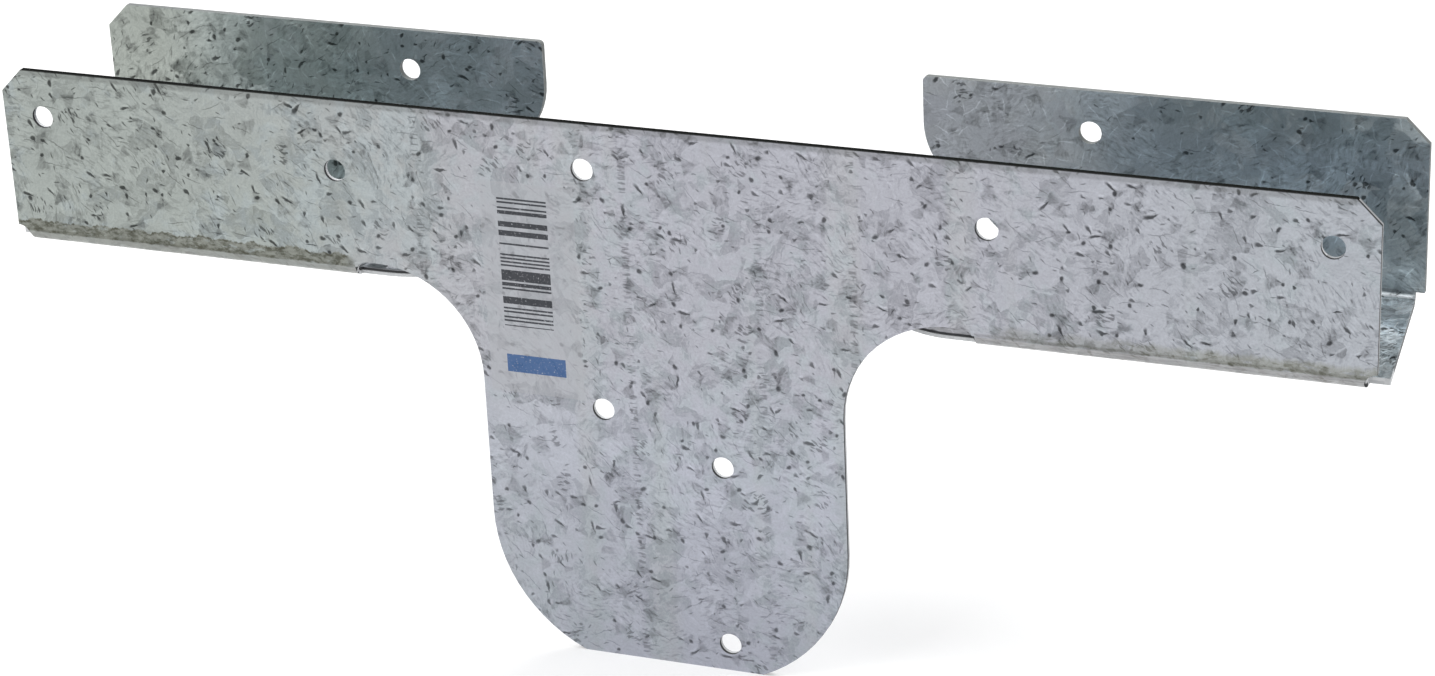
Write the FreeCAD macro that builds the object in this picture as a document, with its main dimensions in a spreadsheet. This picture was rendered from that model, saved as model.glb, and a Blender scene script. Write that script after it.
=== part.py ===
import FreeCAD, Part
import math
import os
import Sketcher

# Rigid tie connector: one blank of galvanized sheet, punched and folded.
# A T-shaped face plate has two arms and a tongue.
# Each arm folds back into a seat and up into a rear flange, which makes two open channels.
# X runs along the arms, Y from the face plate to the rear flanges, Z up.
# The origin is on the inner face of the face plate, at seat height, halfway along.

doc = FreeCAD.newDocument("rigid_tie_connector")
sheet = doc.addObject("Spreadsheet::Sheet", "Sizes")

sizes = {
    # Sheet and folds
    "sheet_thickness": 1.3,
    "bend_radius": 1.6,
    # Channels
    "half_length": 134.5,
    "seat_width": 39.7,
    "plate_height": 34.4,
    "flange_height": 34.4,
    "top_corner_cut": 4.5,
    # Tongue
    "tongue_half_width": 36.1,
    "tongue_depth": 74.2,
    "tongue_end_half_flat": 18.3,
    "tongue_end_radius": 30.3,
    # Sweep from arm to tongue and the relief at the inner end of a fold
    "sweep_radius": 20.9,
    "arch_height": 2.25,
    "arch_flat": 1.9,
    "relief_radius": 2.6,
    # Inner ends of seat and flange
    "slot_width": 2.75,
    "nose_flat": 2.1,
    "flange_corner_radius": 14.0,
    "flange_ledge": 2.6,
    "flange_tip_radius": 1.0,
    # Outer ends of the seat and of the folds
    "notch_radius": 2.4,
    "notch_drop": 0.25,
    "notch_reach": 3.0,
    "seat_end_overhang": 1.5,
    "seat_end_setback": 1.8,
    "rear_notch_height": 1.2,
    # Nail holes
    "nail_hole": 4.4,
    "end_hole_inset": 8.3,
    "end_hole_below_top": 9.3,
    "arm_hole_across": 64.1,
    "left_arm_hole_up": 20.3,
    "right_arm_hole_up": 21.9,
    "middle_hole_across": 13.4,
    "middle_hole_below_top": 9.0,
    "tongue_hole_across": 11.8,
    "tongue_hole_high": 22.4,
    "tongue_hole_mid": 31.5,
    "tongue_hole_from_end": 5.6,
    "left_flange_hole_inset": 28.75,
    "right_flange_hole_inset": 32.45,
    "flange_hole_below_top": 8.2,
}
for row, (alias, value) in enumerate(sizes.items(), start=1):
    sheet.set("A%d" % row, alias)
    sheet.set("B%d" % row, str(value))
    sheet.setAlias("B%d" % row, alias)
doc.recompute()


class Term:
    """A length as an expression on the sheet, together with its present value."""

    def __init__(self, text, value):
        self.text = text
        self.value = value

    def __add__(self, other):
        other = term(other)
        return Term("(%s + %s)" % (self.text, other.text), self.value + other.value)

    def __sub__(self, other):
        other = term(other)
        return Term("(%s - %s)" % (self.text, other.text), self.value - other.value)

    def __mul__(self, factor):
        return Term("(%s * %s)" % (self.text, repr(factor)), self.value * factor)

    def __neg__(self):
        return Term("(0 - %s)" % self.text, -self.value)


def term(number):
    return number if isinstance(number, Term) else Term(repr(number), number)


def size(alias):
    return Term("Sizes." + alias, sizes[alias])


def chord(radius, offset):
    """Half chord of a circle at a distance from its centre."""
    text = "sqrt(%s * %s - %s * %s)" % (radius.text, radius.text, offset.text, offset.text)
    return Term(text, (radius.value ** 2 - offset.value ** 2) ** 0.5)


ZERO = term(0.0)
# Share of a radius at half a right angle
DIAGONAL = math.sqrt(0.5)
# How far a cutting outline reaches past the metal
beyond = term(1.0)
# A cut takes at least this volume, and the halves may differ by as much
volume_slack = 0.5

thickness = size("sheet_thickness")
bend = size("bend_radius")
outer_bend = bend + thickness
half_length = size("half_length")
seat = size("seat_width")
plate_top = size("plate_height")
flange_top = size("flange_height")
cut = size("top_corner_cut")
tongue_side = size("tongue_half_width")
tongue_end = -size("tongue_depth")
end_flat = size("tongue_end_half_flat")
round_radius = size("tongue_end_radius")
round_centre = tongue_side - round_radius
round_start = tongue_end + chord(round_radius, end_flat - round_centre)
sweep = size("sweep_radius")
arch = size("arch_height")
relief = size("relief_radius")
rear_face = seat + thickness
seat_end = half_length + size("seat_end_overhang")
past_end = seat_end + beyond
rear_notch = size("rear_notch_height")

# Places along X shared by the face plate, the seat and the flange
inner_end = tongue_side + size("slot_width")
sweep_top = tongue_side + sweep
relief_start = sweep_top + size("arch_flat")
relief_end = relief_start + relief
relief_centre = arch - relief
below = -(thickness + beyond)


def origin_plane(body, role):
    for feature in body.Origin.OriginFeatures:
        if feature.Role == role:
            return feature
    raise ValueError(role)


def new_sketch(body, name, role, offset=ZERO):
    sketch = body.newObject("Sketcher::SketchObject", name)
    sketch.AttachmentSupport = [(origin_plane(body, role), "")]
    sketch.MapMode = "FlatFace"
    sketch.AttachmentOffset = FreeCAD.Placement(FreeCAD.Vector(0, 0, offset.value), FreeCAD.Rotation())
    sketch.setExpression("AttachmentOffset.Base.z", offset.text)
    return sketch


def bind(sketch, kind, geometry, place, length):
    """Ties one coordinate of a sketch point to the sheet."""
    if abs(length.value) < 1e-9 and length.text == ZERO.text:
        axis = -2 if kind == "DistanceX" else -1
        sketch.addConstraint(Sketcher.Constraint("PointOnObject", geometry, place, axis))
        return
    index = sketch.addConstraint(Sketcher.Constraint(kind, -1, 1, geometry, place, length.value))
    sketch.setExpression("Constraints[%d]" % index, length.text)


def vector(point):
    return FreeCAD.Vector(point[0].value, point[1].value, 0)


def outline(sketch, points):
    """Closed outline; a point (x, y, cx, cy, way) reaches the next one by an arc round (cx, cy).

    The way is 1 for an arc that turns left and -1 for one that turns right.
    """
    first = sketch.GeometryCount
    count = len(points)
    ends = []
    for number, point in enumerate(points):
        start = vector(point)
        end = vector(points[(number + 1) % count])
        if len(point) == 2:
            sketch.addGeometry(Part.LineSegment(start, end), False)
            ends.append((1, 2))
            continue
        centre = vector(point[2:4])
        low, high = (start, end) if point[4] > 0 else (end, start)
        low_angle = math.atan2(low.y - centre.y, low.x - centre.x)
        high_angle = math.atan2(high.y - centre.y, high.x - centre.x)
        if high_angle < low_angle:
            high_angle += 2 * math.pi
        circle = Part.Circle(centre, FreeCAD.Vector(0, 0, 1), (start - centre).Length)
        index = sketch.addGeometry(Part.ArcOfCircle(circle, low_angle, high_angle), False)
        ends.append((1, 2) if point[4] > 0 else (2, 1))
        bind(sketch, "DistanceX", index, 3, point[2])
    for number in range(count):
        follower = (number + 1) % count
        sketch.addConstraint(Sketcher.Constraint(
            "Coincident", first + number, ends[number][1], first + follower, ends[follower][0]))
    for number, point in enumerate(points):
        bind(sketch, "DistanceX", first + number, ends[number][0], point[0])
        bind(sketch, "DistanceY", first + number, ends[number][0], point[1])


def holes(sketch, centres, diameter):
    for x, y in centres:
        circle = Part.Circle(vector((x, y)), FreeCAD.Vector(0, 0, 1), diameter.value / 2)
        index = sketch.addGeometry(circle, False)
        number = sketch.addConstraint(Sketcher.Constraint("Diameter", index, diameter.value))
        sketch.setExpression("Constraints[%d]" % number, diameter.text)
        bind(sketch, "DistanceX", index, 3, x)
        bind(sketch, "DistanceY", index, 3, y)


def pad(body, name, sketch, length):
    feature = body.newObject("PartDesign::Pad", name)
    feature.Profile = sketch
    feature.Length = length.value
    feature.setExpression("Length", length.text)
    return feature


def pocket(body, name, sketch, depth, reverse=False):
    """Cuts to a depth; a cut that removes nothing is an error."""
    doc.recompute()
    before = body.Shape.Volume
    feature = body.newObject("PartDesign::Pocket", name)
    feature.Profile = sketch
    feature.Length = depth.value
    feature.setExpression("Length", depth.text)
    feature.Reversed = reverse
    doc.recompute()
    if not body.Shape.Volume < before - volume_slack:
        raise ValueError("nothing removed by " + name)
    return feature


body = doc.addObject("PartDesign::Body", "TieConnector")
body.Label = "tie_connector"

# Right channel: fold, seat, fold and rear flange in one section
section = new_sketch(body, "ChannelSection", "YZ_Plane", inner_end)
outline(section, [
    (-thickness, bend, bend, bend, 1),
    (bend, -thickness),
    (seat - bend, -thickness, seat - bend, bend, 1),
    (rear_face, bend),
    (rear_face, flange_top),
    (seat, flange_top),
    (seat, bend, seat - bend, bend, -1),
    (seat - bend, ZERO),
    (bend, ZERO, bend, bend, -1),
    (ZERO, bend),
])
pad(body, "Channel", section, seat_end - inner_end)

# Front fold stops short of the tongue
front_relief = new_sketch(body, "FrontReliefOutline", "XZ_Plane", thickness)
outline(front_relief, [
    (inner_end - beyond, below),
    (inner_end - beyond, arch),
    (relief_start, arch, relief_start, relief_centre, -1),
    (relief_end, relief_centre),
    (relief_end, below),
])
pocket(body, "FrontRelief", front_relief, outer_bend)

# Rounded nose at the inner end of the seat
nose_radius = (seat - bend * 2.0 - size("nose_flat")) * 0.5
seat_nose = new_sketch(body, "SeatNoseOutline", "XY_Plane")
outline(seat_nose, [
    (inner_end - beyond, bend),
    (inner_end + nose_radius, bend, inner_end + nose_radius, bend + nose_radius, -1),
    (inner_end, bend + nose_radius),
    (inner_end - beyond, bend + nose_radius),
])
outline(seat_nose, [
    (inner_end - beyond, seat - bend),
    (inner_end - beyond, seat - bend - nose_radius),
    (inner_end, seat - bend - nose_radius, inner_end + nose_radius, seat - bend - nose_radius, -1),
    (inner_end + nose_radius, seat - bend),
])
pocket(body, "SeatNose", seat_nose, thickness)

# Rear flange: swept inner corner with its fold relief, rounded inner tip, cut outer corner
corner = size("flange_corner_radius")
tip = size("flange_tip_radius")
corner_in = inner_end + corner * (1.0 - DIAGONAL)
ledge_start = relief_start - size("flange_ledge")
corner_low = arch + (ledge_start - corner_in)
corner_high = corner_low + corner * DIAGONAL
flange_shape = new_sketch(body, "FlangeOutline", "XZ_Plane", -rear_face)
outline(flange_shape, [
    (inner_end - beyond, below),
    (inner_end - beyond, corner_high),
    (inner_end, corner_high, inner_end + corner, corner_high, 1),
    (corner_in, corner_low),
    (ledge_start, arch),
    (relief_start, arch, relief_start, relief_centre, -1),
    (relief_end, relief_centre),
    (relief_end, below),
])
outline(flange_shape, [
    (inner_end, flange_top - tip, inner_end + tip, flange_top - tip, -1),
    (inner_end + tip, flange_top),
    (inner_end + tip, flange_top + beyond),
    (inner_end - beyond, flange_top + beyond),
    (inner_end - beyond, flange_top - tip),
])
outline(flange_shape, [
    (half_length - cut - beyond, flange_top + beyond),
    (half_length, flange_top - cut),
    (half_length, rear_notch),
    (past_end, rear_notch),
    (past_end, flange_top + beyond),
])
pocket(body, "FlangeShape", flange_shape, outer_bend, True)

# Slanted outer end of the seat, which also clears the rear fold
seat_trim = new_sketch(body, "SeatEndOutline", "XY_Plane", rear_notch)
outline(seat_trim, [
    (seat_end, size("notch_reach")),
    (past_end, size("notch_reach")),
    (past_end, rear_face + beyond),
    (half_length - size("seat_end_setback"), rear_face + beyond),
    (half_length - size("seat_end_setback"), rear_face),
])
pocket(body, "SeatEnd", seat_trim, rear_notch + thickness)

# Right half of the face plate
face = new_sketch(body, "FaceOutline", "XZ_Plane")
outline(face, [
    (ZERO, plate_top),
    (half_length - cut, plate_top),
    (half_length, plate_top - cut),
    (half_length, bend),
    (relief_start + chord(relief, bend - relief_centre), bend, relief_start, relief_centre, 1),
    (relief_start, arch),
    (sweep_top, arch, sweep_top, arch - sweep, 1),
    (tongue_side, arch - sweep),
    (tongue_side, round_start, round_centre, round_start, -1),
    (end_flat, tongue_end),
    (ZERO, tongue_end),
])
pad(body, "FacePlate", face, thickness)

# Round notch at the outer end of the front fold
notch = size("notch_radius")
notch_centre = -size("notch_drop")
front_notch = new_sketch(body, "FrontNotchOutline", "XZ_Plane", thickness)
outline(front_notch, [
    (half_length, notch_centre + notch, half_length, notch_centre, 1),
    (half_length, notch_centre - notch),
    (past_end, notch_centre - notch),
    (past_end, notch_centre + notch),
])
pocket(body, "FrontNotch", front_notch, thickness + size("notch_reach"))

# Left half
doc.recompute()
half_volume = body.Shape.Volume
mirror = body.newObject("PartDesign::Mirrored", "LeftHalf")
mirror.Originals = [doc.getObject(name) for name in (
    "Channel", "FrontRelief", "SeatNose", "FlangeShape", "SeatEnd", "FacePlate", "FrontNotch")]
mirror.MirrorPlane = (origin_plane(body, "YZ_Plane"), [""])
body.Tip = mirror
doc.recompute()
if abs(body.Shape.Volume - 2 * half_volume) > volume_slack:
    raise ValueError("halves differ")

# Nail holes
end_hole = half_length - size("end_hole_inset")
end_hole_up = plate_top - size("end_hole_below_top")
arm_hole = size("arm_hole_across")
tongue_hole = size("tongue_hole_across")
flange_hole_up = flange_top - size("flange_hole_below_top")
face_holes = new_sketch(body, "FaceHoleCentres", "XZ_Plane", thickness)
holes(face_holes, [
    (-end_hole, end_hole_up),
    (end_hole, end_hole_up),
    (-arm_hole, size("left_arm_hole_up")),
    (arm_hole, size("right_arm_hole_up")),
    (-size("middle_hole_across"), plate_top - size("middle_hole_below_top")),
    (-tongue_hole, -size("tongue_hole_high")),
    (tongue_hole, -size("tongue_hole_mid")),
    (tongue_hole, tongue_end + size("tongue_hole_from_end")),
], size("nail_hole"))
pocket(body, "FaceHoles", face_holes, thickness)
flange_holes = new_sketch(body, "FlangeHoleCentres", "XZ_Plane", -rear_face)
holes(flange_holes, [
    (-(inner_end + size("left_flange_hole_inset")), flange_hole_up),
    (inner_end + size("right_flange_hole_inset"), flange_hole_up),
], size("nail_hole"))
pocket(body, "FlangeHoles", flange_holes, thickness, True)

doc.recompute()
for item in doc.Objects:
    if "Invalid" in item.State or "Error" in item.State:
        raise ValueError("not built: " + item.Name)
if body.Shape.isNull() or not body.Shape.isValid() or len(body.Shape.Solids) != 1:
    raise ValueError("not one good solid")

os.makedirs("parts", exist_ok=True)
body.Shape.exportStep("parts/" + body.Label + ".step")
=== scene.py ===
import math

import bpy
from mathutils import Matrix, Vector


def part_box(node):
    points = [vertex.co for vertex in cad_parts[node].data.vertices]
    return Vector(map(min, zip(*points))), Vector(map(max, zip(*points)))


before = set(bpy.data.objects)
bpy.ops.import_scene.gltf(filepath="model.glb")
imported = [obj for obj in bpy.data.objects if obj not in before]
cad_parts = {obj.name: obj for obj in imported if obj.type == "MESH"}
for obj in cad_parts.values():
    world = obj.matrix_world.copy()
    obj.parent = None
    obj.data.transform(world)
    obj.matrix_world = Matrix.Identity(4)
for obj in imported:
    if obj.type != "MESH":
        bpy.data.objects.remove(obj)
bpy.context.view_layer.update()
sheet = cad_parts["tie_connector"]
low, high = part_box("tie_connector")

# Sizes of the folded sheet in millimetres, as the material measures them
MM = 0.001
THICKNESS = 1.3
BEND_RADIUS = 1.6
SEAT_WIDTH = high.y / MM - THICKNESS
SEAT_MIDDLE = SEAT_WIDTH / 2
PLATE_TOP = high.z / MM
RELIEF_END = 61.5

# Marks of bending: heights of the dark crease and of the stain's upper outline
CREASE_HEIGHT = 1.35
STAIN_TOP = 3.55

# Widths in millimetres of the cells that hold one crystal or one mark each
CRYSTAL_STEP = 4.8
COMET_STEP = 4.7
PIT_STEP = 6.4
SMALL_MARK_STEP = 2.9
HAIR_STEP = 5.0
STROKE_STEP = 7.0
NEEDLE_STEP = 3.1

# Widths in millimetres of the cloudy changes over the sheet
TINT_STEP = 60.0
HEADING_STEP = 26.0
CROWD_STEP = 17.0
THINNING_STEP = 7.0
PATCH_STEP = 4.0
GRAIN_STEP = 0.45
ROLLED_WIDTH = 11.0
ROLLED_LENGTH = 300.0

# Jumps between unlike places of a noise: from one cell to the next, and from the inside to the outside
CELL_JUMP = 90.0
OUTSIDE_JUMP = 400.0

# Lean of the crystals' faces, how much more they lean on the seat's end, and the rows of roll ticks
LEAN = 0.3
SEAT_LEAN = 2.6
TICK_ROWS = (-47.0, -5.6, 20.5, 38.7)

# Print on the face plate: step of the bars, and left, right, bottom and top of each block
BAR_STEP = 0.36
PRINT_BLOCK = (-34.5, -15.5, -21.0, 21.5)
BAR_BLOCK = (-31.0, -21.0, -7.4, 18.6)
BLUE_BLOCK = (-31.0, -19.0, -16.8, -13.2)

# Zinc inside the channels
INNER_COOL = (0.358, 0.413, 0.45, 1.0)
INNER_GREEN = (0.41, 0.466, 0.472, 1.0)
INNER_LEFT_END = (0.305, 0.33, 0.305, 1.0)
# Painted shade low at the channel's right end
RIGHT_END_PAINTED_SHADE = (0.302, 0.34, 0.355, 1.0)
FLANGE = (0.472, 0.523, 0.56, 1.0)
# Painted light on the right flange's inner end, falling off outwards
FLANGE_END_PAINTED_LIGHT = (0.617, 0.64, 0.65, 1.0)
FLANGE_OUTWARD = (0.487, 0.545, 0.589, 1.0)
# Painted shade on the right flange's upper band and on a low band near its outer end
FLANGE_UPPER_PAINTED_SHADE = (0.39, 0.439, 0.44, 1.0)
FLANGE_LOWER_PAINTED_SHADE = (0.15, 0.175, 0.185, 1.0)
# Seat lighter as painted light from above; its right end with painted light at the rear and painted shade
# at the front
SEAT_PAINTED_LIGHT = (0.46, 0.49, 0.505, 1.0)
SEAT_END_PAINTED_LIGHT = (0.705, 0.765, 0.805, 1.0)
SEAT_END_PAINTED_SHADE = (0.31, 0.335, 0.345, 1.0)
# Painted shade on the seats' round noses and inside the rear fold
SEAT_NOSE_PAINTED_SHADE = (0.19, 0.19, 0.205, 1.0)
INSIDE_FOLD_PAINTED_SHADE = (0.2, 0.215, 0.225, 1.0)

# Zinc outside
PLATE = (0.356, 0.361, 0.402, 1.0)
PLATE_LEFTWARD = (0.357, 0.361, 0.389, 1.0)
TONGUE = (0.384, 0.397, 0.453, 1.0)
TONGUE_LEFTWARD = (0.38, 0.397, 0.441, 1.0)
RIGHT_ARM = (0.342, 0.36, 0.392, 1.0)
LEFT_ARM = (0.296, 0.322, 0.306, 1.0)
ROLLED_BAND = (0.355, 0.36, 0.35, 1.0)
COOL_CLOUD = (0.333, 0.38, 0.4, 1.0)

# Folds, print and sheared edges
STAIN_PALE = (0.255, 0.264, 0.234, 1.0)
STAIN_DARK = (0.158, 0.164, 0.137, 1.0)
STAIN_OLIVE = (0.262, 0.263, 0.187, 1.0)
BURNISHED_PALE = (0.4, 0.395, 0.385, 1.0)
BURNISHED_DARK = (0.28, 0.275, 0.265, 1.0)
BURNISHED_LEFT = (0.26, 0.262, 0.245, 1.0)
CREASE = (0.085, 0.084, 0.064, 1.0)
PRINT_FILM = (0.385, 0.395, 0.42, 1.0)
PRINT_BLACK = (0.032, 0.034, 0.04, 1.0)
PRINT_BLUE = (0.02, 0.085, 0.235, 1.0)
EDGE_CUT = (0.6, 0.61, 0.62, 1.0)
# Dark side of a sheared edge where the sheet broke, also a painted dark reflection on the seats' noses
EDGE_BROKEN_AND_NOSE_REFLECTION = (0.03, 0.031, 0.033, 1.0)
EDGE_FLANGE = (0.2, 0.212, 0.21, 1.0)
EDGE_SEAT = (0.13, 0.135, 0.14, 1.0)
EDGE_TOP = (0.015, 0.016, 0.015, 1.0)
TOP_DARKER = (0.1, 0.105, 0.1, 1.0)
TOP_LINE = (0.02, 0.021, 0.02, 1.0)

# Photograph's frame in pixels, and the camera that took it
IMAGE_WIDTH = 1435
IMAGE_HEIGHT = 676
FOCAL_LENGTH = 3733.4
CENTRE_ACROSS = 823.2
CENTRE_DOWN = 368.9
CAMERA_PLACE = Vector((0.25154, -0.58562, 0.26464))
CAMERA_AZIMUTH = math.radians(20.55)
CAMERA_ELEVATION = math.radians(23.66)
CAMERA_ROLL = math.radians(-1.89)
CAMERA_NEAR = 0.01

# Light on the object, and the white that floor and surroundings show to the camera and in reflections
WORLD_LIGHT = 0.55
BACKDROP_WHITE = 1.0
FLOOR_HALF_WIDTH = 4.0
FLOOR_GRAY = 0.8
FLOOR_GLOW = 0.25
LAMP_POWER = 8.0


class Field:
    """A number that varies over a surface, with plain arithmetic on it."""

    def __init__(self, graph, socket):
        self.graph = graph
        self.socket = socket

    def __add__(self, other):
        return self.graph.math("ADD", self, other)

    def __sub__(self, other):
        return self.graph.math("SUBTRACT", self, other)

    def __rsub__(self, other):
        return self.graph.math("SUBTRACT", other, self)

    def __mul__(self, other):
        return self.graph.math("MULTIPLY", self, other)

    def __truediv__(self, other):
        return self.graph.math("DIVIDE", self, other)

    def above(self, edge):
        return self.graph.math("GREATER_THAN", self, edge)

    def below(self, edge):
        return self.graph.math("LESS_THAN", self, edge)

    def at_least(self, least):
        return self.graph.math("MAXIMUM", self, least)

    def at_most(self, most):
        return self.graph.math("MINIMUM", self, most)

    def size(self):
        return self.graph.math("ABSOLUTE", self)

    def root(self):
        return self.graph.math("SQRT", self)

    def rise(self, start, end):
        """0 up to start, 1 from end on, with a smooth slope between; start may be the higher one."""
        node = self.graph.add("ShaderNodeMapRange", interpolation_type="SMOOTHSTEP")
        self.graph.put(node.inputs["Value"], self)
        if start < end:
            limits = (start, end, 0.0, 1.0)
        else:
            limits = (end, start, 1.0, 0.0)
        for name, limit in zip(("From Min", "From Max", "To Min", "To Max"), limits):
            node.inputs[name].default_value = limit
        return Field(self.graph, node.outputs["Result"])


class Graph:
    """The node tree of one material or world, built by calls that give fields and sockets."""

    def __init__(self, owner):
        owner.use_nodes = True
        self.tree = owner.node_tree
        self.tree.nodes.clear()

    def add(self, kind, **settings):
        node = self.tree.nodes.new(kind)
        for name, value in settings.items():
            setattr(node, name, value)
        return node

    def put(self, socket, value):
        if isinstance(value, Field):
            value = value.socket
        if isinstance(value, bpy.types.NodeSocket):
            self.tree.links.new(value, socket)
        else:
            socket.default_value = value

    def math(self, operation, *values):
        node = self.add("ShaderNodeMath", operation=operation)
        for socket, value in zip(node.inputs, values):
            self.put(socket, value)
        return Field(self, node.outputs[0])

    def split(self, socket):
        """The three numbers of a vector or a colour."""
        node = self.add("ShaderNodeSeparateXYZ")
        self.put(node.inputs[0], socket)
        return [Field(self, out) for out in node.outputs]

    def join(self, x, y, z=0.0):
        node = self.add("ShaderNodeCombineXYZ")
        for socket, value in zip(node.inputs, (x, y, z)):
            self.put(socket, value)
        return node.outputs[0]

    def noise(self, place, step, detail=3.0, roughness=0.55):
        """Cloudy noise whose blotches are about a step wide."""
        node = self.add("ShaderNodeTexNoise", noise_dimensions="2D")
        self.put(node.inputs["Vector"], place)
        node.inputs["Scale"].default_value = 1.0 / step
        node.inputs["Detail"].default_value = detail
        node.inputs["Roughness"].default_value = roughness
        return node

    def cloud(self, place, step, detail=3.0, roughness=0.55):
        """The same noise as a number from 0 to 1."""
        return Field(self, self.noise(place, step, detail, roughness).outputs["Fac"])

    def streaks(self, across, down, detail=3.0, roughness=0.55):
        """Noise drawn out by unlike scales of its two coordinates."""
        return self.cloud(self.join(across, down), 1.0, detail, roughness)

    def shift(self, place, colour, reach):
        """A place pushed on by a noise colour, by up to a reach along each axis."""
        node = self.add("ShaderNodeVectorMath", operation="MULTIPLY_ADD")
        self.put(node.inputs[0], colour)
        node.inputs[1].default_value = (reach, reach, 0.0)
        self.put(node.inputs[2], place)
        return node.outputs[0]

    def cells(self, place, step):
        """Random cells about a step wide."""
        node = self.add("ShaderNodeTexVoronoi", voronoi_dimensions="2D", feature="F1")
        self.put(node.inputs["Vector"], place)
        node.inputs["Scale"].default_value = 1.0 / step
        return node

    def scale(self, colour, level):
        node = self.add("ShaderNodeVectorMath", operation="SCALE")
        self.put(node.inputs[0], colour)
        self.put(node.inputs["Scale"], level)
        return node.outputs[0]

    def mix(self, share, first, second):
        """Colour between two."""
        node = self.add("ShaderNodeMix", data_type="RGBA", clamp_factor=True)
        self.put(node.inputs[0], share)
        self.put(node.inputs[6], first)
        self.put(node.inputs[7], second)
        return node.outputs[2]

    def highest(self, first, second):
        return self.math("MAXIMUM", first, second)


class Surface:
    """Where a point lies on the sheet, in millimetres, and the parts of the sheet that follow from it."""

    def __init__(self, graph):
        place = graph.add("ShaderNodeTexCoord").outputs["Object"]
        x, y, z = (part * (1 / MM) for part in graph.split(place))
        self.x, self.y, self.z = x, y, z
        self.behind = y.above(SEAT_MIDDLE)
        self.depth = self.into_sheet(graph)
        self.outside = self.depth.above(THICKNESS / 2)
        self.outer_face = self.depth.above(THICKNESS - 0.1)

        # Place on the flat blank, with the outside apart from the inside
        upright = graph.highest(z.above(0.0), x.size().below(RELIEF_END))
        self.along = y + z * (self.behind * 2.0 - 1.0) * upright
        self.flat = graph.join(x + self.outside * OUTSIDE_JUMP, self.along)

        # Parts that differ in tone or in their crystals
        self.seat = z.below(0.5)
        self.seat_end = self.seat * x.rise(105.0, 120.0)
        self.low_down = z.rise(-5.0, -35.0)
        self.inner = (1.0 - self.outside) * (1.0 - x.rise(-90.0, -115.0) * 0.7)
        middle_back = y.rise(4.0, 0.5) * x.size().rise(58.0, 42.0)
        self.open_face = graph.highest(self.outside, middle_back)

        # Broad changes of tint, and bands along the rolling
        self.wide = graph.cloud(self.flat, TINT_STEP, detail=2.0)
        self.rolled = graph.streaks(x * (1 / ROLLED_WIDTH), self.along * (1 / ROLLED_LENGTH), detail=2.0)
        self.greenish = (x * -0.0075 + self.wide * 0.5 - 0.2).rise(0.3, 0.75)

    def into_sheet(self, graph):
        """Depth into the sheet: 0 on the inner faces, its thickness on the outer ones."""
        side = (self.y - SEAT_MIDDLE).size() - (SEAT_MIDDLE - BEND_RADIUS)
        down = BEND_RADIUS - self.z
        past_side = side.at_least(0.0)
        past_down = down.at_least(0.0)
        reach = (past_side * past_side + past_down * past_down).root()
        channel = reach + graph.highest(side, down).at_most(0.0) - BEND_RADIUS
        on_middle = self.y.below(0.02) * self.x.size().below(RELIEF_END)
        return channel + on_middle * (self.y * -1.0 - channel)


def gray(level):
    return (level, level, level, 1.0)


def turned(graph, dx, dy, angle):
    """An offset measured along and across a direction."""
    cosine = graph.math("COSINE", angle)
    sine = graph.math("SINE", angle)
    return dx * cosine + dy * sine, dy * cosine - dx * sine


def mark_frame(graph, place, step, heading, swing):
    """Along and across the one mark of each cell in millimetres, and two random numbers of that cell."""
    cells = graph.cells(place, step)
    px, py, _ = graph.split(place)
    cx, cy, _ = graph.split(cells.outputs["Position"])
    first, second, third = graph.split(cells.outputs["Color"])
    along, across = turned(graph, px - cx, py - cy, heading + (first - 0.5) * swing)
    return along, across, second, third


def dash(along, across, half_length, half_width, taper=0.0):
    """Distance from the middle of a dash, 1 on its outline; taper widens its head and thins its tail."""
    u = along / half_length
    v = across / ((1.0 - u * taper) * half_width).at_least(0.04)
    return (u * u + v * v).root()


def wedge(along, across, length, slope):
    """A patch that opens from the mark along its axis."""
    inside = across.size() - along * slope
    return inside.rise(0.3, -0.2) * along.rise(-0.2, 0.4) * along.rise(length, length * 0.75)


def flecks(graph, place, heading):
    """Dark marks in the zinc, the grey wedges that open from them and the glints beside them."""
    crowd = graph.cloud(place, CROWD_STEP, detail=1.0).rise(0.35, 0.65) * 0.7 + 0.2

    along, across, size, share = mark_frame(graph, place, COMET_STEP, heading, 1.9)
    there = share.below(crowd)
    half_length = size * size * 1.2 + 0.32
    comet = dash(along, across, half_length, share * 0.22 + 0.2, taper=0.7).rise(1.35, 0.5) * there
    glint = dash(along, across + 0.55, half_length, 0.2).rise(1.3, 0.5) * there
    shade = wedge(along, across, 3.0, 0.5) * share.below(0.4)
    dark = comet * (size * 0.25 + 0.65)

    along, across, size, share = mark_frame(graph, place, PIT_STEP, heading, math.tau)
    pit = dash(along, across, size * 0.3 + 0.36, size * 0.12 + 0.33).rise(1.4, 0.45)
    dark = graph.highest(dark, pit * share.below(crowd) * 0.92)
    shade = graph.highest(shade, wedge(along, across, 3.4, 0.6) * share.below(0.5))

    along, across, size, share = mark_frame(graph, place, SMALL_MARK_STEP, heading, 1.8)
    small = dash(along, across, size * 0.5 + 0.3, 0.15, taper=0.4).rise(1.4, 0.4)
    dark = graph.highest(dark, small * share.below(0.5) * 0.58)

    along, across, size, share = mark_frame(graph, place, HAIR_STEP, heading, 1.2)
    hair = dash(along, across, size * 1.4 + 1.3, 0.1).rise(1.5, 0.3)
    dark = graph.highest(dark, hair * share.below(0.6) * 0.42)
    return dark, shade, glint


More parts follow.
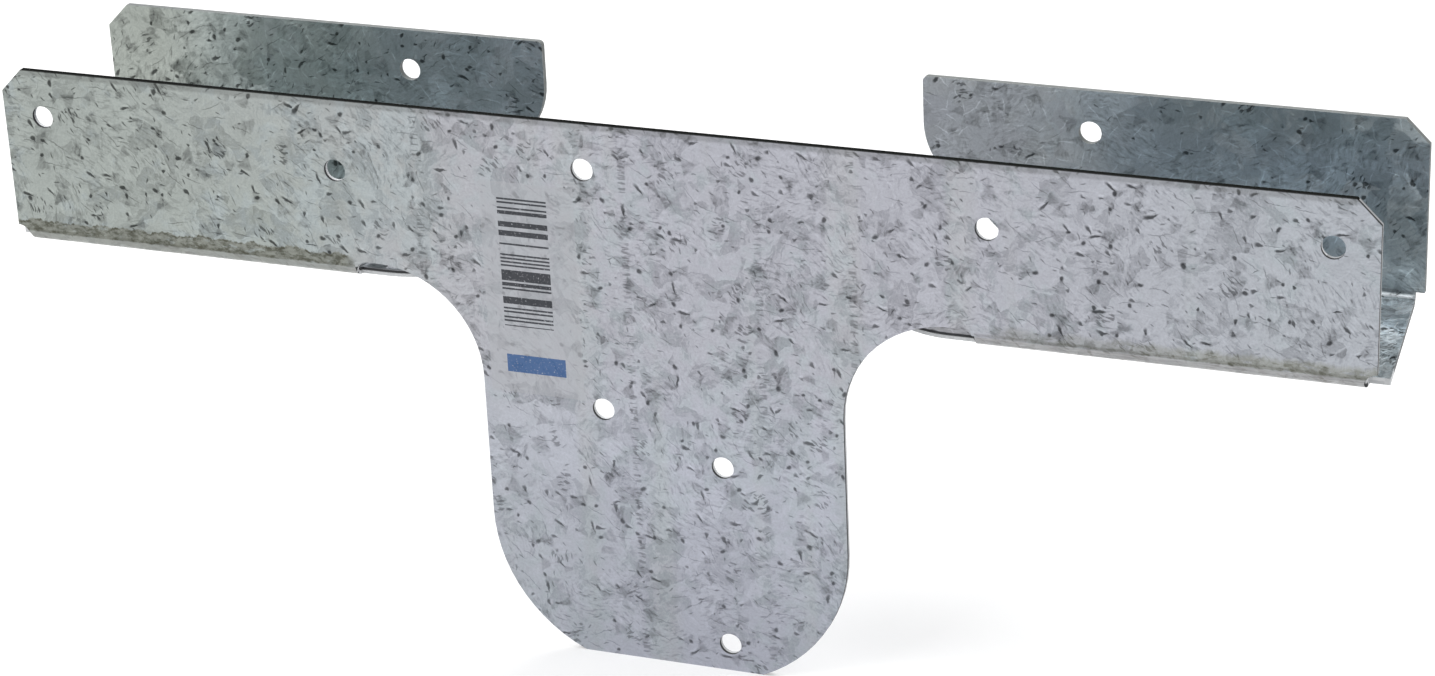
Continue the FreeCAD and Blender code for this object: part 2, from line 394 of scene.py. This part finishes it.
def strokes(graph, place, heading):
    """Groups of short strokes side by side: dark ones, pale ones between them, and a few dark combs."""
    along, across, size, share = mark_frame(graph, place, STROKE_STEP, heading, 1.2)
    lines = graph.streaks(along * 0.45, across * 1.7 + size * CELL_JUMP, detail=1.0)
    group = share.rise(0.65, 0.3)
    comb = lines.rise(0.54, 0.64) * dash(along, across, 1.7, 2.6).rise(1.1, 0.8) * share.above(0.82)
    return lines.rise(0.54, 0.72) * group, lines.rise(0.45, 0.3) * group, comb


def roll_ticks(graph, surface):
    """Rows of short faint ticks that the rolls left down the outside of the sheet."""
    x, along = surface.x, surface.along
    beats = graph.streaks(x * 0.3, along * 1.7, detail=1.0).rise(0.5, 0.64)
    stretch = graph.streaks(x * 0.03, along * 0.06, detail=1.0).rise(0.4, 0.5)
    rows = [(x - row).size().rise(1.0, 0.5) for row in TICK_ROWS]
    return beats * stretch * sum(rows[1:], rows[0]) * surface.outside


def needles(graph, place):
    """Thin pale lines in every direction, the ribs of crystals."""
    heading = graph.cloud(place, HEADING_STEP)
    along, across, size, share = mark_frame(graph, place, NEEDLE_STEP, heading, math.tau)
    return dash(along, across, size * 1.5 + 0.8, 0.13).rise(1.4, 0.4) * share.below(0.6)


def crystals(graph, flat):
    """Leaf-like crystals: each has a tone, a tilt, and feathers along its own direction."""
    broad = graph.noise(flat, 4.5, detail=3.0)
    bent = graph.shift(flat, broad.outputs["Color"], 3.4)
    cells = graph.cells(bent, CRYSTAL_STEP)
    px, py, _ = graph.split(bent)
    cx, cy, _ = graph.split(cells.outputs["Position"])
    tone, heading, other = graph.split(cells.outputs["Color"])
    u, v = turned(graph, px - cx, py - cy, heading * math.tau)
    feather_place = graph.join(u * 0.3, v * 0.95 + other * CELL_JUMP)
    feather = graph.noise(feather_place, 1.0, detail=3.0, roughness=0.65)
    barbs = graph.streaks(u * 0.55, v * 3.2 + tone * CELL_JUMP, detail=2.0)
    return cells, tone, feather, barbs, bent


def inner_ground(graph, surface):
    """Zinc inside the channels before its crystals: cool, paler or darker by place, with painted light and
    painted shade on the right flange, the seats and the fold.
    """
    x, y, z, behind = surface.x, surface.y, surface.z, surface.behind
    colour = graph.mix(surface.greenish, INNER_COOL, INNER_GREEN)
    colour = graph.mix(x.rise(-95.0, -125.0), colour, INNER_LEFT_END)

    # Flanges: all but the left one's outer part, then the right one from its inner end outwards
    colour = graph.mix(x.rise(-84.0, -62.0) * behind, colour, FLANGE)
    # Painted light on the right flange's inner end, falling off outwards
    colour = graph.mix(x.rise(82.0, 62.0) * x.above(0.0) * behind, colour, FLANGE_END_PAINTED_LIGHT)
    colour = graph.mix(x.rise(98.0, 108.0) * behind, colour, FLANGE_OUTWARD)
    # Painted shade low at the right end of the channel
    colour = graph.mix(x.rise(118.0, 130.0) * z.rise(26.0, 16.0), colour, RIGHT_END_PAINTED_SHADE)
    # Painted shade on the right flange's upper band and on a low band near its outer end
    upper = z.rise(24.0, 33.0) * behind * x.rise(76.0, 92.0)
    colour = graph.mix(upper * 0.6, colour, FLANGE_UPPER_PAINTED_SHADE)
    lower = behind * z.rise(14.0, 7.0) * x.rise(105.0, 114.0) * x.rise(127.0, 122.0)
    colour = graph.mix(lower * 0.4, colour, FLANGE_LOWER_PAINTED_SHADE)

    # Seats lighter as painted light from above, their right ends with painted light at the rear and painted
    # shade at the front; then the inside of the rear fold and the seats' round noses
    seat_colour = graph.mix(y.rise(15.5, 19.0) * surface.seat_end, SEAT_PAINTED_LIGHT, SEAT_END_PAINTED_LIGHT)
    seat_colour = graph.mix(y.rise(16.5, 13.0) * surface.seat_end, seat_colour, SEAT_END_PAINTED_SHADE)
    colour = graph.mix(surface.seat, colour, seat_colour)
    # Painted shade inside the rear fold
    fold_shade = y.above(SEAT_WIDTH - 1.2) * z.below(1.4)
    colour = graph.mix(fold_shade * 0.6, colour, INSIDE_FOLD_PAINTED_SHADE)
    # Painted shade on the seats' round noses
    nose_shade = x.size().rise(76.0, 64.0) * y.rise(12.0, 6.0) * z.below(3.0)
    return graph.mix(nose_shade, colour, SEAT_NOSE_PAINTED_SHADE)


def outer_ground(graph, surface):
    """Zinc outside before its crystals: lilac grey, greener to the left, with warm rolled bands."""
    leftward = surface.x.rise(5.0, -45.0)
    plate = graph.mix(leftward, PLATE, PLATE_LEFTWARD)
    tongue = graph.mix(leftward, TONGUE, TONGUE_LEFTWARD)
    colour = graph.mix(surface.low_down, plate, tongue)
    colour = graph.mix(surface.rolled.rise(0.5, 0.66) * 0.28, colour, ROLLED_BAND)
    colour = graph.mix(surface.x.rise(50.0, 130.0), colour, RIGHT_ARM)
    return graph.mix(surface.greenish, colour, LEFT_ARM)


def mark_strength(graph, surface):
    """How strongly dark marks show: more at the ends and inside, less on tongue and right flange."""
    x, outside, inner = surface.x, surface.outside, surface.inner
    at_right = x.rise(50.0, 100.0) * (0.2 - outside * 0.1)
    at_left = x.rise(-50.0, -100.0) * (outside * 0.2 + 0.2)
    strength = at_right + at_left - surface.low_down * 0.08 + inner * 0.25 + 1.0
    gaps = graph.cloud(surface.flat, THINNING_STEP, detail=1.0).rise(0.42, 0.52)
    thinned = gaps * surface.behind * x.above(0.0) * inner
    return strength * (1.0 - thinned * 0.8)


def zinc(graph, surface, grain):
    """Colour of the crystallized coat, with its dull patches, cells and feathers for the shader."""
    flat, outside, inner, seat_end = surface.flat, surface.outside, surface.inner, surface.seat_end
    cells, tone, feather, barbs, bent = crystals(graph, flat)
    leaf = Field(graph, feather.outputs["Fac"])
    cloud = graph.cloud(bent, PATCH_STEP, detail=5.0, roughness=0.62)
    patch = (tone * 0.25 + leaf * 0.5 + cloud * 0.7).rise(0.74, 0.84)
    ground = graph.mix(surface.open_face, inner_ground(graph, surface), outer_ground(graph, surface))
    cool = (cloud * 0.4 + surface.wide * 0.3 + surface.rolled * 0.3).rise(0.46, 0.6)
    ground = graph.mix(cool * surface.open_face * 0.5, ground, COOL_CLOUD)

    # Marks, a little crooked and along a heading that changes over the sheet
    crooked = graph.noise(flat, 1.5, detail=2.0)
    near = graph.shift(flat, crooked.outputs["Color"], 0.6)
    heading = graph.cloud(flat, HEADING_STEP, detail=1.0) * 2.6 - 0.85
    dark, shade, glint = flecks(graph, near, heading)
    stroke, pale, comb = strokes(graph, near, heading)
    dark = graph.highest(dark, comb * 0.6)
    dark = graph.highest(dark, roll_ticks(graph, surface) * 0.5)
    dark = (dark * mark_strength(graph, surface)).at_most(0.96)

    # Level of the ground: crystals and strokes darken and lighten it, less so on the tongue
    level = 1.05 - patch * 0.125 - tone.above(0.74) * 0.07 - shade * (leaf * 0.45 + 0.04)
    level = level - stroke * (seat_end * 0.3 + 0.25) + pale * (inner * 0.1 + 0.08) + glint * 0.15
    level = level - (leaf - 0.5) * (seat_end * 1.2 + 0.25) + (tone - 0.5) * inner * 0.27
    level = level - (barbs - 0.5) * (seat_end * 0.7 + inner * 0.1 + 0.17) - (grain - 0.5) * 0.3
    level = level + needles(graph, near) * (inner * 0.36 + seat_end * 0.4 + outside * 0.08)
    level = level - (level - 1.0) * surface.low_down * outside * 0.16
    return graph.scale(ground, level * (1.0 - dark * 0.84)), patch, cells, feather


def with_folds(graph, surface, colour):
    """Marks of bending outside the folds: a ragged olive stain, a burnished strip and a dark crease."""
    x, y, z = surface.x, surface.y, surface.z
    on_fold = surface.outer_face * x.size().above(RELIEF_END) * z.below(8.0)
    left = x.rise(-60.5, -64.0)
    right = x.rise(62.0, 70.0) * (x.rise(85.0, 110.0) * 0.12 + 0.42)
    weight = (left * 0.95 + right) * (y.below(SEAT_MIDDLE) * 0.6 + 0.4)
    ragged = graph.streaks(x * 0.3, x * 0.02, detail=4.0, roughness=0.65)
    streaks = graph.streaks(x * 0.16, z * 3.0, detail=3.0, roughness=0.6)
    blotch = graph.streaks(x * 0.5, z * 0.9 + 40.0, detail=4.0, roughness=0.7)
    bare = graph.streaks(x * 0.35, z * 0.7 + 80.0, detail=3.0).rise(0.42, 0.3)
    over_crease = z - (ragged - 0.5) * 0.5 - CREASE_HEIGHT
    under_top = (ragged - 0.5) * 2.6 + STAIN_TOP - z

    # Stain between the crease and its ragged top
    fade = left + (1.0 - left) * under_top.rise(-0.3, 1.2)
    between = under_top.rise(-0.15, 0.2) * over_crease.rise(-0.6, -0.2)
    band = between * (1.0 - bare * 0.6) * weight * fade * on_fold
    stain = graph.mix(blotch.rise(0.35, 0.6), STAIN_PALE, STAIN_DARK)
    stain = graph.mix(x.rise(75.0, 110.0) * 0.6, stain, STAIN_OLIVE)
    colour = graph.mix(band * 0.92, colour, stain)

    # Strip below the crease
    beside_fold = (y - SEAT_MIDDLE).size().rise(SEAT_MIDDLE - 3.5, SEAT_MIDDLE - 1.0)
    strip = over_crease.rise(-0.25, -0.6) * on_fold * beside_fold
    burnished = graph.mix(streaks.rise(0.35, 0.65), BURNISHED_PALE, BURNISHED_DARK)
    burnished = graph.mix(left, burnished, BURNISHED_LEFT)
    colour = graph.mix(strip * 0.65, colour, burnished)

    # Crease, the stain's rim and its specks
    rim = (under_top - 0.2).size().rise(0.4, 0.1) * blotch.rise(0.4, 0.55) * left
    line = over_crease.size().rise(0.5, 0.1) * streaks.rise(0.2, 0.5) * (weight * 0.2 + 0.36)
    specks = band * blotch.rise(0.5, 0.64)
    dark = specks * 0.6 + (rim * 0.45 + line * (0.85 - left * 0.2)) * on_fold
    return graph.mix(dark.at_most(0.85), colour, CREASE), band


def with_print(graph, surface, colour, grain):
    """Print on the face plate: a film, a block of plain bars and one plain blue band, a little worn."""
    x, z = surface.x, surface.z
    front = surface.y.below(0.1 - THICKNESS)

    def block(limits):
        left, right, bottom, top = limits
        return x.above(left) * x.below(right) * z.above(bottom) * z.below(top) * front

    row = graph.add("ShaderNodeTexWhiteNoise", noise_dimensions="1D")
    graph.put(row.inputs["W"], graph.math("FLOOR", z * (1 / BAR_STEP)))
    bars = Field(graph, row.outputs["Value"]).above(0.5) * block(BAR_BLOCK)
    film = block(PRINT_BLOCK)
    worn = grain.rise(0.15, 0.4)
    colour = graph.mix(film * 0.6, colour, PRINT_FILM)
    colour = graph.mix(bars * worn * 0.92, colour, PRINT_BLACK)
    return graph.mix(block(BLUE_BLOCK) * worn * 0.85, colour, PRINT_BLUE), film


def with_edges(graph, surface, colour):
    """Sheared edges: pale where the tool cut, dark where the sheet broke and along the face plate's top,
    with a painted dark reflection on the seats' noses.
    """
    x, y, z, depth = surface.x, surface.y, surface.z, surface.depth
    on_plate = y.below(1.0)
    on_seat = surface.seat * y.above(2.0)
    round_nose = y.above(0.05) * z.below(2.6) * x.size().below(70.0)
    top = z.above(PLATE_TOP - 0.3) * on_plate

    # Colour across the thickness, which is the other way round on the seats' noses, where the dark line is
    # a painted dark reflection of the rounded edge
    broken_and_nose_reflection = depth.rise(0.55, 0.75) * (1.0 - graph.highest(on_seat * 0.9, round_nose))
    broken_and_nose_reflection = broken_and_nose_reflection + depth.rise(0.75, 0.5) * round_nose
    edge = graph.mix(broken_and_nose_reflection * 0.95, EDGE_CUT, EDGE_BROKEN_AND_NOSE_REFLECTION)
    edge = graph.mix(y.above(SEAT_WIDTH - 1.0), edge, EDGE_FLANGE)
    edge = graph.mix(x.above(125.0) * on_plate, edge, graph.scale(edge, 0.6))
    edge = graph.mix(on_seat * x.size().above(125.0) * y.above(8.0), edge, EDGE_SEAT)
    edge = graph.mix(top, edge, EDGE_TOP)

    # Face darker just below the top edge
    plate_face = on_plate * surface.outer_face
    darker_below_top = z.rise(PLATE_TOP - 1.4, PLATE_TOP - 0.8) * plate_face
    colour = graph.mix(darker_below_top * 0.36, colour, TOP_DARKER)
    colour = graph.mix(z.above(PLATE_TOP - 0.12) * plate_face * 0.8, colour, TOP_LINE)

    margin = 0.1 - z.size().above(3.0) * 0.08
    sheared = depth.above(margin) * depth.below(THICKNESS - margin * 0.5)
    return graph.mix(sheared, colour, edge), sheared, top


def tilted(graph, surface, cells, feather):
    """The normal, leaned a little by each crystal and its feathers so that they glint apart."""
    y = surface.y
    facets = (y.rise(13.0, 20.0) * 0.5 + y.rise(22.0, 28.0) * 0.6) * surface.seat_end
    facets = facets * y.rise(SEAT_WIDTH - 1.5, SEAT_WIDTH - 4.0)
    lean = graph.add("ShaderNodeVectorMath", operation="MULTIPLY_ADD")
    graph.put(lean.inputs[0], graph.mix(0.5, cells.outputs["Color"], feather.outputs["Color"]))
    lean.inputs[1].default_value = (LEAN, LEAN, LEAN)
    lean.inputs[2].default_value = (-LEAN / 2, -LEAN / 2, -LEAN / 2)
    total = graph.add("ShaderNodeVectorMath", operation="ADD")
    graph.put(total.inputs[0], graph.add("ShaderNodeNewGeometry").outputs["Normal"])
    graph.put(total.inputs[1], graph.scale(lean.outputs[0], facets * SEAT_LEAN + 1.0))
    unit = graph.add("ShaderNodeVectorMath", operation="NORMALIZE")
    graph.put(unit.inputs[0], total.outputs[0])
    return unit.outputs[0]


def galvanized():
    """Zinc coat with feathered crystals, dark flecks, stained folds, worn print and sheared edges."""
    material = bpy.data.materials.new("galvanized_sheet")
    graph = Graph(material)
    surface = Surface(graph)
    grain = graph.cloud(surface.flat, GRAIN_STEP, detail=2.0, roughness=0.6)
    colour, patch, cells, feather = zinc(graph, surface, grain)
    colour, band = with_folds(graph, surface, colour)
    colour, film = with_print(graph, surface, colour, grain)
    colour, sheared, top = with_edges(graph, surface, colour)

    rough = patch * 0.12 + 0.29 + band * 0.3 + sheared * 0.4 + film * 0.1
    low_flange = surface.behind * surface.z.rise(18.0, 9.0) * surface.z.above(1.0)
    rough = rough + low_flange * surface.x.rise(105.0, 118.0) * 0.12

    shader = graph.add("ShaderNodeBsdfPrincipled")
    shader.inputs["Metallic"].default_value = 0.92
    graph.put(shader.inputs["Base Color"], colour)
    graph.put(shader.inputs["Specular Tint"], graph.mix(top * sheared, gray(1.0), gray(0.2)))
    graph.put(shader.inputs["Roughness"], rough.at_most(0.8))
    graph.put(shader.inputs["Normal"], tilted(graph, surface, cells, feather))
    out = graph.add("ShaderNodeOutputMaterial")
    graph.put(out.inputs["Surface"], shader.outputs[0])
    return material


def add_camera():
    """Camera at the photograph's place, with its lens and its off-centre axis."""
    data = bpy.data.cameras.new("camera")
    data.sensor_fit = "HORIZONTAL"
    data.lens = FOCAL_LENGTH / IMAGE_WIDTH * data.sensor_width
    data.shift_x = (IMAGE_WIDTH / 2 - CENTRE_ACROSS) / IMAGE_WIDTH
    data.shift_y = (CENTRE_DOWN - IMAGE_HEIGHT / 2) / IMAGE_WIDTH
    data.clip_start = CAMERA_NEAR
    camera = bpy.data.objects.new("camera", data)
    bpy.context.scene.collection.objects.link(camera)
    turn = (
        Matrix.Rotation(CAMERA_AZIMUTH, 4, "Z")
        @ Matrix.Rotation(math.pi / 2 - CAMERA_ELEVATION, 4, "X")
        @ Matrix.Rotation(CAMERA_ROLL, 4, "Z")
    )
    camera.matrix_world = Matrix.Translation(CAMERA_PLACE) @ turn
    bpy.context.scene.camera = camera


def seen_directly(graph):
    """1 for rays from the camera and for those in reflections and through glass, else 0."""
    path = graph.add("ShaderNodeLightPath")
    kinds = ("Is Camera Ray", "Is Glossy Ray", "Is Transmission Ray")
    camera, glossy, through = (Field(graph, path.outputs[kind]) for kind in kinds)
    return (camera + glossy + through).at_most(1.0)


def add_world():
    """Even light all round; seen directly it is the white of the backdrop."""
    world = bpy.data.worlds.new("studio")
    graph = Graph(world)
    background = graph.add("ShaderNodeBackground")
    background.inputs["Color"].default_value = gray(1.0)
    strength = seen_directly(graph) * (BACKDROP_WHITE - WORLD_LIGHT) + WORLD_LIGHT
    graph.put(background.inputs["Strength"], strength)
    out = graph.add("ShaderNodeOutputWorld")
    graph.put(out.inputs["Surface"], background.outputs[0])
    bpy.context.scene.world = world


def add_floor():
    """Pale floor under the tongue: white where lit, and it keeps the object's shadow."""
    mesh = bpy.data.meshes.new("floor")
    signs = ((-1, -1), (1, -1), (1, 1), (-1, 1))
    corners = [(sx * FLOOR_HALF_WIDTH, sy * FLOOR_HALF_WIDTH, low.z) for sx, sy in signs]
    mesh.from_pydata(corners, [], [(0, 1, 2, 3)])
    floor = bpy.data.objects.new("floor", mesh)
    bpy.context.scene.collection.objects.link(floor)
    material = bpy.data.materials.new("floor")
    graph = Graph(material)
    matte = graph.add("ShaderNodeBsdfDiffuse")
    matte.inputs["Color"].default_value = gray(FLOOR_GRAY)
    glow = graph.add("ShaderNodeEmission")
    glow.inputs["Color"].default_value = gray(1.0)
    graph.put(glow.inputs["Strength"], seen_directly(graph) * FLOOR_GLOW)
    both = graph.add("ShaderNodeAddShader")
    graph.put(both.inputs[0], matte.outputs[0])
    graph.put(both.inputs[1], glow.outputs[0])
    out = graph.add("ShaderNodeOutputMaterial")
    graph.put(out.inputs["Surface"], both.outputs[0])
    mesh.materials.append(material)


def add_lamp(name, place, width):
    """Soft square lamp that faces the middle of the object."""
    data = bpy.data.lights.new(name, "AREA")
    data.energy = LAMP_POWER
    data.size = width
    lamp = bpy.data.objects.new(name, data)
    bpy.context.scene.collection.objects.link(lamp)
    place = Vector(place)
    towards_middle = (low + high) / 2 - place
    turn = towards_middle.to_track_quat("-Z", "Y").to_matrix().to_4x4()
    lamp.matrix_world = Matrix.Translation(place) @ turn


sheet.material_slots[0].material = galvanized()
add_camera()
add_world()
add_floor()
add_lamp("key", (-0.7, -0.9, 1.1), 0.9)
add_lamp("back", (-0.4, 0.75, 1.15), 0.6)
add_lamp("top", (0.6, 0.0, 1.3), 0.9)

bpy.context.scene.view_settings.view_transform = "Standard"
